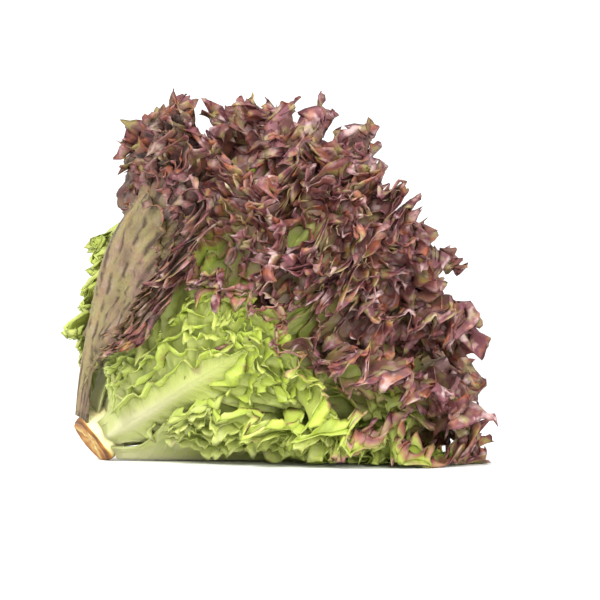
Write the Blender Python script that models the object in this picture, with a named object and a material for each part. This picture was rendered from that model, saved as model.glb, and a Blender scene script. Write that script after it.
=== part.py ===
# Lollo rosso lettuce head, picked, lying on its side with the cut stem at the lower left.
# Metres, +Z up, the viewer on the -Y side, origin on the floor below the middle of the head.

import math
import random

import bmesh
import bpy
import numpy as np

# The head: leaves stand round a tilted axis that starts at the cut stem
head_radius = 0.193
axis_tilt = math.radians(39.0)
open_angle = math.radians(38.5)
inner_angle = math.radians(3.0)
butt_place = (-0.0919, -0.0007, 0.0126)
leaf_count = 26
golden_angle = math.radians(137.5)
outermost_azimuth = math.radians(50.0)
base_bulge = 0.28
floor_softness = 0.003
floor_spread = 0.12
spread_start = 0.02
spread_full = 0.12

# Slow waves that run through the whole head and bend its leaves together
sway = 0.0042
sway_length = 0.066
sway_start = 0.03
sway_full = 0.12
sway_floor = -0.005
sway_clear = 0.035
sway_slants = (0.7, 0.6, 0.8)
sway_phases = (0.4, 2.1, 4.0)

# The stem: a short core, broad at the cut end and narrow among the inner leaves
stem_radius = 0.0130
stem_tip_radius = 0.0035
stem_core = 0.042
stem_stub = 0.0055
stem_sides = 20
stem_rings = 6
cut_rim_share = 0.94
cut_turn = 0.30
sharp_edge = math.radians(40.0)

# Every leaf: a stalk that opens into a fan with a frilled rim
blade_thickness = 0.0010
rib_thickness = 0.0026
stem_gap = 0.0004
stalk_half_width = 0.0092
stalk_end = 0.04
widest_at = 0.58
fan_top = 0.70
rib_reach = 0.74
stalk_rim_weight = 0.35
stalk_rim_end = 0.26
half_span = math.radians(46.0)
widest_half_width = 0.074
wrap_limit = 1.15
short_leaf_share = 0.34
layer_turn = 3
foot_share = 0.94
foot_hidden = 0.95
tip_spread = 0.80
most_lean = 0.16
bend_end = 0.75
least_distance = 0.02
first_seed = 700

# The frill: long folds that carry short pleats at the rim
fold_height = 0.0042
pleat_height = 0.0056
tooth_length = 0.0022
curl_back = 0.55
fold_waves = 5.0
fold_start = 0.25
pleat_waves = 10.0
pleat_start = 0.80
pleat_strength = 0.72
pleat_change = 0.28
rim_flare = 0.0070
heart_flare = 0.35
flare_start = 0.68
flare_side = 0.5
frill_end = 0.98
frill_full = 0.78
rim_drift = 0.012
room_share = 0.42

# Rows of points from the midrib to the rim, and how many steps run along each
row_places = (0.0, 0.10, 0.40, 0.68, 0.87, 1.0)
row_steps = (12, 12, 12, 20, 20, 40)

# Leaves that differ from the rule: reach as a share of the head, stand as a share of the opening
special_leaves = {
    26: {"reach": 0.80, "stand": 0.92, "bulge": 0.36, "stalk_end": 0.17, "free": 0.1,
         "azimuth": 70.0, "span": 1.05},
    25: {"reach": 0.92, "stand": 1.03, "bulge": 0.05, "azimuth": -75.0, "free": 0.5, "widest_at": 0.38},
    24: {"reach": 0.52, "stand": 1.07, "bulge": 0.46, "span": 0.70, "azimuth": 136.0, "free": 0.2},
    23: {"reach": 0.68, "stand": 0.88, "bulge": 0.10, "azimuth": -12.0, "span": 1.2, "widest_at": 0.45},
    22: {"stand": 0.91, "bulge": 0.10},
    21: {"reach": 0.85, "stand": 0.795, "bulge": 0.20, "span": 0.92},
    20: {"reach": 0.945, "stand": 0.84, "bulge": 0.14},
    19: {"stand": 0.745, "bulge": 0.225},
    18: {"stand": 0.70},
    17: {"reach": 0.985, "stand": 0.71, "bulge": 0.14},
    3: {"reach": 1.04},
}

leaf_colour = {
    "outer": (0.29, 0.13, 0.12, 1.0),
    "middle": (0.33, 0.16, 0.13, 1.0),
    "inner": (0.42, 0.48, 0.14, 1.0),
}
stem_colour = (0.52, 0.40, 0.17, 1.0)


def smooth_step(low, high, value):
    share = np.clip((value - low) / (high - low), 0.0, 1.0)
    return share * share * (3.0 - 2.0 * share)


def make_material(name, colour, roughness):
    material = bpy.data.materials.new(name)
    material.use_nodes = True
    shader = material.node_tree.nodes["Principled BSDF"]
    shader.inputs["Base Color"].default_value = colour
    shader.inputs["Roughness"].default_value = roughness
    shader.inputs["Metallic"].default_value = 0.0
    return material


def stem_radius_at(height):
    share = np.clip(height / stem_core, 0.0, 1.0)
    return stem_radius + (stem_tip_radius - stem_radius) * share


def head_to_world(distance, angle, azimuth, base_height, base_radius):
    """Point at a distance and angle from a leaf's foot, turned round the head's axis."""
    radius = base_radius + distance * np.sin(angle)
    height = base_height + distance * np.cos(angle)
    below = np.clip(-np.sin(azimuth), 0.0, 1.0)
    corner = np.sin(2.0 * np.arcsin(below)) * below
    radius = radius * (1.0 + floor_spread * corner * smooth_step(spread_start, spread_full, distance))
    upward = radius * np.sin(azimuth)
    x = height * math.cos(axis_tilt) - upward * math.sin(axis_tilt)
    y = -radius * np.cos(azimuth)
    z = height * math.sin(axis_tilt) + upward * math.cos(axis_tilt)
    away = np.sqrt(x * x + y * y + z * z)
    z = z + butt_place[2]
    amount = sway * smooth_step(sway_start, sway_full, away) * smooth_step(sway_floor, sway_clear, z)
    pace = 2.0 * math.pi / sway_length
    x = x + amount * np.sin(pace * (y + sway_slants[0] * z) + sway_phases[0])
    y = y + amount * np.sin(pace * (z - sway_slants[1] * x) + sway_phases[1])
    z = z + amount * np.sin(pace * (sway_slants[2] * x + y) + sway_phases[2])
    z = 0.5 * (z + np.sqrt(z * z + floor_softness ** 2))
    return np.stack([x + butt_place[0], y + butt_place[1], z], axis=-1)


def leaf_plan(index):
    """Where a leaf stands, how long and wide it is, and how its frill runs."""
    draw = random.Random(first_seed + index)
    share = index / leaf_count
    azimuth = outermost_azimuth - golden_angle * (leaf_count - index)
    facing = abs(math.cos(azimuth))
    rule_reach = 1.0 - short_leaf_share * share ** 1.5 * facing
    rule_stand = inner_angle / open_angle + (1.0 - inner_angle / open_angle) * share
    special = special_leaves.get(index, {})
    base_height = stem_core * (1.0 - share) * foot_share
    stand = special.get("stand", rule_stand) * open_angle
    reach = special.get("reach", rule_reach) * head_radius
    length = reach - base_height * foot_hidden
    tip_radius = tip_spread * length * math.sin(stand) + stem_radius
    span = half_span * special.get("span", 1.0)
    if "azimuth" in special:
        azimuth = math.radians(special["azimuth"])
    return {
        "index": index,
        "azimuth": azimuth,
        "stalk_end": special.get("stalk_end", stalk_end),
        "widest_at": special.get("widest_at", widest_at),
        "free": special.get("free", 0.0),
        "flare": rim_flare * (heart_flare + (1.0 - heart_flare) * share),
        "stand": stand,
        "bulge": special.get("bulge", base_bulge),
        "length": length,
        "half_width": min(widest_half_width, span * tip_radius),
        "base_height": base_height,
        "base_radius": float(stem_radius_at(base_height)) + stem_gap
        + 0.5 * blade_thickness,
        "gap": open_angle * layer_turn / leaf_count,
        "phases": [draw.uniform(0.0, 2.0 * math.pi) for _ in range(6)],
        "lean": draw.uniform(-most_lean, most_lean),
    }


def fan_outline(plan, along):
    """Rim point for a place along the rim: 0 is the tip, 1 and -1 are the foot's corners."""
    length = plan["length"]
    half_width = plan["half_width"]
    up = np.linspace(0.0, fan_top, 60)
    side_x = stalk_half_width + (half_width - stalk_half_width) * smooth_step(
        plan["stalk_end"], plan["widest_at"], up)
    turn = np.linspace(0.0, 0.5 * math.pi, 50)[1:]
    cap_x = half_width * np.cos(turn)
    cap_y = fan_top + (1.0 - fan_top) * np.sin(turn)
    rim_x = np.concatenate([side_x, cap_x])
    rim_y = np.concatenate([up, cap_y]) * length
    weight = np.where(rim_y[1:] < stalk_rim_end * length, stalk_rim_weight, 1.0)
    steps = np.hypot(np.diff(rim_x), np.diff(rim_y)) * weight
    walked = np.concatenate([[0.0], np.cumsum(steps)])
    place = (1.0 - np.abs(along)) * walked[-1]
    return np.sign(along) * np.interp(place, walked, rim_x), np.interp(place, walked, rim_y)


def leaf_points(plan, out, along):
    """Middle surface of a leaf: out runs from midrib to rim, along runs round the rim."""
    p = plan["phases"]
    drift = rim_drift * (np.sin(6.1 * along + p[0]) + np.sin(11.3 * along + p[1]))
    drift = drift * (1.0 - along ** 4)
    rim_x, rim_y = fan_outline(plan, np.clip(along + drift, -1.0, 1.0))
    foot_y = plan["length"] * rib_reach * (1.0 - np.abs(along)) ** 0.9
    x = rim_x * out
    y = foot_y + (rim_y - foot_y) * out
    frilled = smooth_step(frill_end, frill_full, np.abs(along))
    strength = pleat_strength + pleat_change * np.sin(7.7 * along + p[2])
    fold = np.cos(2.0 * math.pi * fold_waves * along + p[3]) * smooth_step(fold_start, 1.0, out)
    pleat = np.cos(2.0 * math.pi * pleat_waves * along) * smooth_step(pleat_start, 1.0, out)
    lift = (fold * fold_height + pleat * pleat_height * strength) * frilled
    room = np.maximum(y, least_distance) * plan["gap"] * room_share
    lift = room * np.tanh(lift / room) + plan["free"] * np.maximum(lift, 0.0)
    tipward = smooth_step(flare_side, 0.4 * flare_side, np.abs(along))
    lift = lift + plan["flare"] * smooth_step(flare_start, 1.0, out) * tipward
    tooth = tooth_length * np.sin(2.0 * math.pi * fold_waves * along + p[4])
    y = y + (tooth - curl_back * pleat_height) * pleat * frilled
    radius = plan["base_radius"] + y * math.sin(plan["stand"])
    turn = wrap_limit * np.tanh(x / (radius * wrap_limit))
    azimuth = plan["azimuth"] + turn + plan["lean"] * (y / plan["length"]) ** 2
    bend = 1.0 + plan["bulge"] * (1.0 - smooth_step(0.0, bend_end, y / head_radius))
    angle = plan["stand"] * bend + lift / np.maximum(y, least_distance)
    return head_to_world(y, angle, azimuth, plan["base_height"], plan["base_radius"])


def leaf_net():
    """Row by row places, and triangles between neighbouring rows."""
    out_places = []
    along_places = []
    rows = []
    for place, steps in zip(row_places, row_steps):
        marks = [-1.0 + 2.0 * k / steps for k in range(steps + 1)]
        if place == 0.0:
            first = len(out_places)
            half = steps // 2
            for k in range(half + 1):
                out_places.append(0.0)
                along_places.append(marks[k])
            numbers = [first + min(k, steps - k) for k in range(steps + 1)]
        else:
            first = len(out_places)
            out_places.extend([place] * (steps + 1))
            along_places.extend(marks)
            numbers = list(range(first, first + steps + 1))
        rows.append((marks, numbers))
    triangles = []
    for (marks_in, numbers_in), (marks_out, numbers_out) in zip(rows[:-1], rows[1:]):
        i = 0
        j = 0
        while i < len(marks_in) - 1 or j < len(marks_out) - 1:
            step_out = i == len(marks_in) - 1 or (
                j < len(marks_out) - 1 and marks_out[j + 1] <= marks_in[i + 1] + 1e-9)
            if step_out:
                triangle = (numbers_in[i], numbers_out[j], numbers_out[j + 1])
                j += 1
            else:
                triangle = (numbers_in[i], numbers_out[j], numbers_in[i + 1])
                i += 1
            triangles.append(triangle)
    return np.array(out_places), np.array(along_places), triangles


def vertex_normals(points, triangles):
    normals = np.zeros_like(points)
    corners = np.array(triangles)
    a, b, c = points[corners[:, 0]], points[corners[:, 1]], points[corners[:, 2]]
    face = np.cross(b - a, c - a)
    for k in range(3):
        np.add.at(normals, corners[:, k], face)
    return normals / np.linalg.norm(normals, axis=1)[:, None]


def open_edges(triangles):
    directed = set()
    for a, b, c in triangles:
        directed.update(((a, b), (b, c), (c, a)))
    return [(a, b) for a, b in directed if (b, a) not in directed]


def make_leaf(index, material):
    plan = leaf_plan(index)
    out, along, triangles = leaf_net()
    points = leaf_points(plan, out, along)
    normals = vertex_normals(points, triangles)
    outward = points - np.array(butt_place)
    axis = np.array([math.cos(axis_tilt), 0.0, math.sin(axis_tilt)])
    outward = outward - (outward @ axis)[:, None] * axis
    if np.sum(normals * outward) < 0.0:
        normals = -normals
        triangles = [(a, c, b) for a, b, c in triangles]
    share = index / leaf_count
    rib = rib_thickness * share * (out == 0.0) * np.abs(along) ** 0.7
    back = points + normals * (0.5 * blade_thickness + rib)[:, None]
    front = points - normals * 0.5 * blade_thickness
    back[:, 2] = np.maximum(back[:, 2], 0.0)
    front[:, 2] = np.maximum(front[:, 2], 0.0)
    count = len(points)
    faces = list(triangles)
    faces += [(a + count, c + count, b + count) for a, b, c in triangles]
    for a, b in sorted(open_edges(triangles)):
        faces.append((b, a, a + count))
        faces.append((b, a + count, b + count))
    name = "leaf_%02d" % index
    mesh = bpy.data.meshes.new(name)
    mesh.from_pydata(np.concatenate([back, front]).tolist(), [], faces)
    mesh.materials.append(material)
    mesh.shade_smooth()
    leaf = bpy.data.objects.new(name, mesh)
    bpy.context.collection.objects.link(leaf)
    return leaf


def make_stem(material):
    """Turned core with a slanted cut end, pressed flat where it touches the floor."""
    rings = []
    for k in range(stem_rings + 1):
        height = -stem_stub + (stem_core + stem_stub) * k / stem_rings
        rings.append((height, float(stem_radius_at(height)) * (1.0 if k else cut_rim_share)))
    points = []
    for height, radius in rings:
        for side in range(stem_sides):
            azimuth = 2.0 * math.pi * (side + 0.5) / stem_sides
            tilt = cut_turn * math.cos(azimuth) * radius if height < 0.0 else 0.0
            along_axis = height + tilt
            viewer = radius * math.cos(azimuth)
            upward = radius * math.sin(azimuth)
            x = butt_place[0] + along_axis * math.cos(axis_tilt) - upward * math.sin(axis_tilt)
            y = butt_place[1] - viewer
            z = butt_place[2] + along_axis * math.sin(axis_tilt) + upward * math.cos(axis_tilt)
            points.append((x, y, z))
    faces = [tuple(range(stem_sides))]
    for ring in range(stem_rings):
        for side in range(stem_sides):
            after = (side + 1) % stem_sides
            low = ring * stem_sides
            high = low + stem_sides
            faces.append((low + side, high + side, high + after, low + after))
    top = stem_rings * stem_sides
    faces.append(tuple(range(top + stem_sides - 1, top - 1, -1)))
    mesh = bpy.data.meshes.new("stem")
    mesh.from_pydata(points, [], faces)
    shape = bmesh.new()
    shape.from_mesh(mesh)
    cut = bmesh.ops.bisect_plane(
        shape, geom=shape.verts[:] + shape.edges[:] + shape.faces[:], dist=1e-7,
        plane_co=(0.0, 0.0, 0.0), plane_no=(0.0, 0.0, 1.0), clear_inner=True)
    rim = [part for part in cut["geom_cut"] if isinstance(part, bmesh.types.BMEdge)]
    bmesh.ops.contextual_create(shape, geom=rim)
    bmesh.ops.recalc_face_normals(shape, faces=shape.faces[:])
    shape.to_mesh(mesh)
    shape.free()
    mesh.materials.append(material)
    mesh.shade_smooth()
    mesh.set_sharp_from_angle(angle=sharp_edge)
    stem = bpy.data.objects.new("stem", mesh)
    bpy.context.collection.objects.link(stem)
    return stem


for thing in list(bpy.data.objects):
    bpy.data.objects.remove(thing)

leaf_materials = {name: make_material("leaf_" + name, colour, 0.55)
                  for name, colour in leaf_colour.items()}
make_stem(make_material("cut_stem", stem_colour, 0.7))
for leaf_index in range(1, leaf_count + 1):
    if leaf_index > 18:
        layer = "outer"
    elif leaf_index > 8:
        layer = "middle"
    else:
        layer = "inner"
    make_leaf(leaf_index, leaf_materials[layer])
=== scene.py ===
# Lollo rosso lettuce: a picked head lying on its side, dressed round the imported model.
# The leaves stand and open by the model's own rules. Here they get their fine frills, crinkled
# blades, thick ribs, veins and colours, and the stem gets its browned cut.

import math
import random

import bpy
import numpy as np
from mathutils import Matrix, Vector


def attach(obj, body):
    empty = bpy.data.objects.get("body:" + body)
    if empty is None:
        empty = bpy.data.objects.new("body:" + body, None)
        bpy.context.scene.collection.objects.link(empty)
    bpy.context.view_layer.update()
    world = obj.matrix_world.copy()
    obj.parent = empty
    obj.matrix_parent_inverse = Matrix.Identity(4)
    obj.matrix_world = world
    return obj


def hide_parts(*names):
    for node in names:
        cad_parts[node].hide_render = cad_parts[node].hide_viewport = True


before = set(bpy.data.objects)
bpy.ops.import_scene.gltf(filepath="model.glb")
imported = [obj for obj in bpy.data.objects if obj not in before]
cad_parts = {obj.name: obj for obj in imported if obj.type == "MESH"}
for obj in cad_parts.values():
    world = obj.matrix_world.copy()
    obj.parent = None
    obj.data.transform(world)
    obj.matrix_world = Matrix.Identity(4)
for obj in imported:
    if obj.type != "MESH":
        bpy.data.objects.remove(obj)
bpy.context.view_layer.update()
mm = 0.001
fullTurn = 2.0 * math.pi


def smooth(low, high, value):
    share = np.clip((value - low) / (high - low), 0.0, 1.0)
    return share * share * (3.0 - 2.0 * share)


def toLinear(code):  # sRGB hex to the linear colour that a socket takes
    parts = [int(code[k:k + 2], 16) / 255.0 for k in (1, 3, 5)]
    return tuple(c / 12.92 if c <= 0.04045 else ((c + 0.055) / 1.055) ** 2.4 for c in parts) + (1.0,)


def addNode(tree, kind, values=None, feeds=None, **settings):
    node = tree.nodes.new(kind)
    for name, value in settings.items():
        setattr(node, name, value)
    for socket, value in (values or {}).items():
        node.inputs[socket].default_value = value
    for socket, source in (feeds or {}).items():
        tree.links.new(source, node.inputs[socket])
    return node


# The head: an axis that starts at the cut stem, with leaves turned round it by the golden angle
head = {
    "radius": 193.0 * mm,
    "tilt": math.radians(39.0),
    "opening": math.radians(38.5),
    "innermost": math.radians(3.0),
    "butt": (-91.9 * mm, -0.7 * mm, 12.6 * mm),
    "leaves": 26,
    "taupeLeaf": 26,
    "turn": math.radians(137.5),
    "firstAzimuth": math.radians(50.0),
    "shortShare": 0.34,
    "shortPower": 1.5,
    "lean": 0.16,
    "seed": 700,
    "floorSoftness": 3.0 * mm,
    "floorSpread": 0.12,
    "spreadFrom": 20.0 * mm,
    "spreadFull": 120.0 * mm,
    "sway": 4.2 * mm,  # a slow wave through the whole head, none near the stem or the floor
    "swayLength": 66.0 * mm,
    "swayStart": 30.0 * mm,
    "swayFull": 120.0 * mm,
    "swayLow": -5.0 * mm,
    "swayHigh": 35.0 * mm,
    "swayMix": (0.7, -0.6, 0.8),
    "swayPhases": (0.4, 2.1, 4.0),
}

stemShape = {
    "radius": 13.0 * mm,
    "tipRadius": 3.5 * mm,
    "core": 42.0 * mm,
    "stub": 5.5 * mm,
    "cutTurn": 0.30,
    "bevel": 0.06,
    "bevelEnd": 0.06,
    "turnEnd": 0.13,
    "sides": 120,
    "rings": 36,
    "faceRings": 14,
    "ridgeHeight": 0.35 * mm,
    "faceBumps": 0.3 * mm,
    "faceRipple": 0.25 * mm,
    "hollow": 0.9 * mm,
    "seed": 77,
}

# One leaf: a stalk that opens into a fan
leafShape = {
    "stalkHalf": 9.2 * mm,
    "fanTop": 0.70,
    "rimSteps": (60, 50),
    "stalkRimWeight": 0.35,
    "stalkRimEnd": 0.26,
    "halfSpan": math.radians(46.0),
    "tipShare": 0.80,
    "widestHalf": 74.0 * mm,
    "wrapLimit": 1.15,
    "footShare": 0.94,
    "footLoss": 0.95,
    "bulgeEnd": 0.75,
    "nearest": 20.0 * mm,  # lift becomes an angle over at least this distance
    "thickness": 0.5 * mm,
    "stalkThickness": 1.4 * mm,
    "stalkFade": 0.40,
    "rimFrom": 0.9,
    "rimThinning": 0.4,
    "ribReach": 0.74,
    "ribCurve": 0.9,
    "ribFade": 0.7,
    "ribHeight": 2.6 * mm,
    "ribWidth": 3.2 * mm,
    "layerTurn": 3,
    "stemGap": 0.9 * mm,
}

# The frill: long folds carry pleats, and the pleats carry small curls
frill = {
    "side": (0.98, 0.78),  # none at the foot's corners, full further on
    "foldHeight": 4.2 * mm,
    "foldWaves": 5.0,
    "foldFrom": 0.25,
    "pleatHeight": 6.4 * mm,
    "pleatWaves": 10.0,
    "pleatSpan": (0.60, 0.98),
    "pleatMean": 0.72,
    "pleatChange": 0.28,
    "pleatPace": 7.7,
    "pleatDrift": 0.010,
    "drift": 0.012,
    "driftPaces": (6.1, 11.3),
    "toothLength": 2.2 * mm,
    "curlBack": 0.55,
    "room": 0.42,
    "recurveWidth": 20.0 * mm,
    "recurveTurn": 1.25,
    "recurveChange": 0.35,
    "recurveFrom": 0.62,
    "recurveSide": (0.92, 0.55),
    "leastTurn": 0.05,
    "curlWaves": 25.0,
    "curlUneven": 1.6,
    "curlMean": 0.72,
    "curlChange": 0.42,
    "curlFrom": 0.66,
    "curlLean": 1.9,
    "curlHeight": 2.6 * mm,
    "curlSide": 1.6 * mm,
    "curlReach": 2.2 * mm,
    "curlReachFrom": 0.80,
    "crumple": 1.7 * mm,
    "crumpleLength": 12.0 * mm,
    "crumpleSpan": (0.45, 0.95),
}

# Ribbons: the crisped margin in rows over the outer part of the blade, each a meandering strip
ribbon = {
    "rows": (0.12, 0.21, 0.32, 0.41, 0.50, 0.60, 0.70, 0.80, 0.90, 0.985),
    "rowDrift": 0.035,
    "lastFoot": 0.995,
    "step": 0.55 * mm,
    "rearStep": 0.92 * mm,  # coarser where leaves face away from the viewer
    "rearLeaves": (6, 9, 11, 14, 16, 17, 19, 22, 24),
    "cellsUp": 4,
    "height": 7.6 * mm,
    "heightMean": 0.80,
    "heightChange": 0.42,
    "heightLimits": (0.35, 1.3),
    "wave": 6.6 * mm,
    "waveUneven": 1.3,
    "meander": 2.6 * mm,
    "swingMean": 0.75,
    "swingChange": 0.35,
    "loop": 0.9 * mm,
    "fineWave": 2.9 * mm,
    "fineMeander": 1.2 * mm,
    "fineShift": 0.25,
    "teeth": 0.10,
    "toothWave": 2.6 * mm,
    "rise": 1.05,
    "riseChange": 0.40,
    "curlOver": 0.50,
    "sunk": 0.6 * mm,  # the foot of a strip stands in the blade
    "lowest": 1.0 * mm,
    "taper": 8.0 * mm,  # length over which a strip grows up
    "taperSpan": (0.40, 0.90),
    "sideTaper": 0.16,
    "untilTaper": 0.06,
    "endSize": 0.3,
    "thickness": 0.45 * mm,
    "openRoom": 30.0 * mm,
    "roomUsed": 0.85,
    "roomFull": 0.9,
    "leastScale": 0.25,
    "leastRoom": 5.0 * mm,
    "leastRoomInside": {"rule": 17.0 * mm, 5: 10.0 * mm, 7: 10.0 * mm, 10: 9.0 * mm, 12: 10.0 * mm, 15: 7.0 * mm,
                        18: 7.0 * mm, 20: 6.0 * mm, 21: 6.0 * mm, 25: 3.0 * mm},
    "rimRows": 0.85,
    "coverMargin": 4.0 * mm,
    "crossing": 2.0 * mm,
    "floorRoom": 1.4,
    "leastDown": 0.25,
    "sideEnd": {"rule": 0.88, 23: 0.97},
    "from": {"rule": 0.30, 26: 0.45, 25: 0.30, 24: 0.50, 23: 0.10, 22: 0.50, 20: 0.20, 18: 0.10, 15: 0.20},
    "until": {"rule": 1.0, 26: 0.42},
    "size": {"rule": 1.0, 26: 0.9, 25: 1.2, 24: 0.4, 23: 0.9, 22: 0.9, 20: 1.2, 14: 0.7, 9: 0.8},
    "inwardRims": (25,),
    "seed": 1700,
}

# The blade between the frill and the midrib: pockets between raised veins
blade = {
    "veinHeight": 1.0 * mm,
    "fineVeinHeight": 0.5 * mm,
    "fineVeins": 3.0,  # fine veins for each raised one
    "veinDrift": 0.006,
    "rayFoot": 30.0 * mm,
    "pocket": 1.3 * mm,
    "pocketLength": 11.0 * mm,
    # the patches of furrow that get painted shade, and where they start
    "furrowShadeLength": 16.0 * mm,
    "furrowShadeFrom": -0.3,
    "outSpan": (0.03, 0.20),
    "rimSpan": (0.98, 0.70),
    "footSpan": (0.03, 0.22),
    "rowsIn": (0.0, 0.02, 0.05, 0.09, 0.14, 0.20, 0.27, 0.34, 0.41, 0.47),
    "rowsOut": (0.53, 0.59, 0.65, 0.70, 0.75, 0.79, 0.83, 0.87, 0.905, 0.94, 0.97, 1.0),
    "columnsIn": 100,
    "columnsOut": 190,
    "coarseShare": 0.62,
    "coarseBelow": 19,
}

# What every leaf has unless it differs
leafRule = {
    "stalkEnd": 0.04,
    "widestAt": 0.58,
    "span": 1.0,
    "bulge": 0.28,
    "free": 0.0,  # how far folds may leave the room of their own shell
    "relief": 1.0,
    "veins": 10.0,
    # how much painted shade the furrows between veins get
    "furrowShadeStrength": 0.3,
    "fan": 0.0,  # 1 spreads the veins like rays from the foot
    "paleness": 1.0,
}

# Leaves that differ from the rule, numbered from the heart outwards
specialLeaves = {
    26: {"reach": 0.80, "stand": 0.92, "bulge": 0.36, "stalkEnd": 0.17, "free": 0.1, "recurve": 0.3,
         "azimuth": 70.0, "span": 1.05, "relief": 1.7, "veins": 22.0, "furrowShadeStrength": 1.0, "fan": 1.0,
         "paleness": 0.35},
    25: {"reach": 0.92, "stand": 1.03, "bulge": 0.05, "azimuth": -75.0, "free": 0.5, "widestAt": 0.38},
    24: {"reach": 0.52, "stand": 1.07, "bulge": 0.42, "span": 0.70, "azimuth": 136.0, "recurve": 0.05},
    23: {"reach": 0.68, "stand": 0.88, "bulge": 0.10, "azimuth": -12.0, "span": 1.2, "widestAt": 0.38,
         "veins": 14.0, "relief": 1.8, "furrowShadeStrength": 0.5},
    22: {"stand": 0.91, "bulge": 0.10},
    21: {"reach": 0.85, "stand": 0.795, "bulge": 0.20, "span": 0.92},
    20: {"reach": 0.945, "stand": 0.84, "bulge": 0.14, "veins": 18.0, "furrowShadeStrength": 0.4, "relief": 1.4},
    19: {"stand": 0.745, "bulge": 0.225},
    18: {"stand": 0.70},
    17: {"reach": 0.985, "stand": 0.71, "bulge": 0.14},
    3: {"reach": 1.04},
}

# How red each leaf is: the blush starts and is full at these shares of the way to the rim
blush = {
    "rule": {"start": 0.50, "full": 0.78, "wash": 0.0},
    26: {"start": 0.40, "full": 0.85, "wash": 0.40},
    25: {"start": 0.86, "full": 1.10, "wash": 0.0},
    24: {"start": 1.25, "full": 1.70, "wash": 0.0},
    23: {"start": 0.95, "full": 1.15, "wash": 0.0, "side": 0.32},
    22: {"start": 0.55, "full": 0.85, "wash": 0.15},
    20: {"start": 0.70, "full": 0.98, "wash": 0.12, "side": 0.12},
    18: {"start": 0.42, "full": 0.74, "wash": 0.0},
    15: {"start": 0.45, "full": 0.76, "wash": 0.05},
}

# Tints: pale at the foot, the midrib and the veins, and painted shade between the strips
tint = {
    "unevenLength": 24.0 * mm,
    "uneven": 0.05,
    "footPale": 1.15,
    "footPaleEnd": 0.20,
    "ribPale": 0.9,
    "veinPale": 0.35,
    "rimBlush": 0.20,
    "rimBlushStart": 0.03,
    # painted shade: the blade darkens where strips stand on it and nothing lies over it, and each strip darkens
    # towards its foot
    "bladePaintedShade": 0.75,
    "paintedShadeSpan": (-0.10, 0.08),
    "paintedShadeRoom": (5.0 * mm, 12.0 * mm),
    "ribbonPaintedShadeEnd": 0.62,
}


def ruleFor(values, which):  # what one leaf or kind has of its own, or the rule's
    return values.get(which, values["rule"])


def stemRadiusAt(height):
    share = np.clip(height / stemShape["core"], 0.0, 1.0)
    return stemShape["radius"] + (stemShape["tipRadius"] - stemShape["radius"]) * share


def headToWorld(distance, angle, azimuth, baseHeight, baseRadius):
    radius = baseRadius + distance * np.sin(angle)
    height = baseHeight + distance * np.cos(angle)
    below = np.clip(-np.sin(azimuth), 0.0, 1.0)
    corner = np.sin(2.0 * np.arcsin(below)) * below
    radius = radius * (1.0 + head["floorSpread"] * corner * smooth(head["spreadFrom"], head["spreadFull"], distance))
    upward = radius * np.sin(azimuth)
    cosTilt, sinTilt = math.cos(head["tilt"]), math.sin(head["tilt"])
    x = height * cosTilt - upward * sinTilt
    y = -radius * np.cos(azimuth)
    z = height * sinTilt + upward * cosTilt
    away = np.sqrt(x * x + y * y + z * z)
    z = z + head["butt"][2]
    amount = head["sway"] * smooth(head["swayStart"], head["swayFull"], away)
    amount = amount * smooth(head["swayLow"], head["swayHigh"], z)
    pace, mix, phase = fullTurn / head["swayLength"], head["swayMix"], head["swayPhases"]
    x = x + amount * np.sin(pace * (y + mix[0] * z) + phase[0])
    y = y + amount * np.sin(pace * (z + mix[1] * x) + phase[1])
    z = z + amount * np.sin(pace * (mix[2] * x + y) + phase[2])
    z = 0.5 * (z + np.sqrt(z * z + head["floorSoftness"] ** 2))
    return np.stack([x + head["butt"][0], y + head["butt"][1], z], axis=-1)


def planLeaf(number):
    draw = random.Random(head["seed"] + number)
    share = number / head["leaves"]
    azimuth = head["firstAzimuth"] - head["turn"] * (head["leaves"] - number)
    facing = abs(math.cos(azimuth))
    own = {**leafRule, **specialLeaves.get(number, {})}
    narrow = head["innermost"] / head["opening"]
    baseHeight = stemShape["core"] * (1.0 - share) * leafShape["footShare"]
    stand = own.get("stand", narrow + (1.0 - narrow) * share) * head["opening"]
    reach = own.get("reach", 1.0 - head["shortShare"] * share ** head["shortPower"] * facing) * head["radius"]
    length = reach - baseHeight * leafShape["footLoss"]
    tipRadius = leafShape["tipShare"] * length * math.sin(stand) + stemShape["radius"]
    if "azimuth" in own:
        azimuth = math.radians(own["azimuth"])
    return {
        **own,
        "number": number,
        "share": share,
        "azimuth": azimuth,
        "stand": stand,
        "length": length,
        "halfWidth": min(leafShape["widestHalf"], leafShape["halfSpan"] * own["span"] * tipRadius),
        "baseHeight": baseHeight,
        "baseRadius": float(stemRadiusAt(baseHeight)) + leafShape["stemGap"],
        "gap": head["opening"] * leafShape["layerTurn"] / head["leaves"],
        "phases": [draw.uniform(0.0, fullTurn) for _ in range(6)],
        "lean": draw.uniform(-head["lean"], head["lean"]),
        "fine": [draw.uniform(0.0, fullTurn) for _ in range(24)],
        "recurve": own.get("recurve", 0.5 + 0.5 * share),
    }


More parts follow.
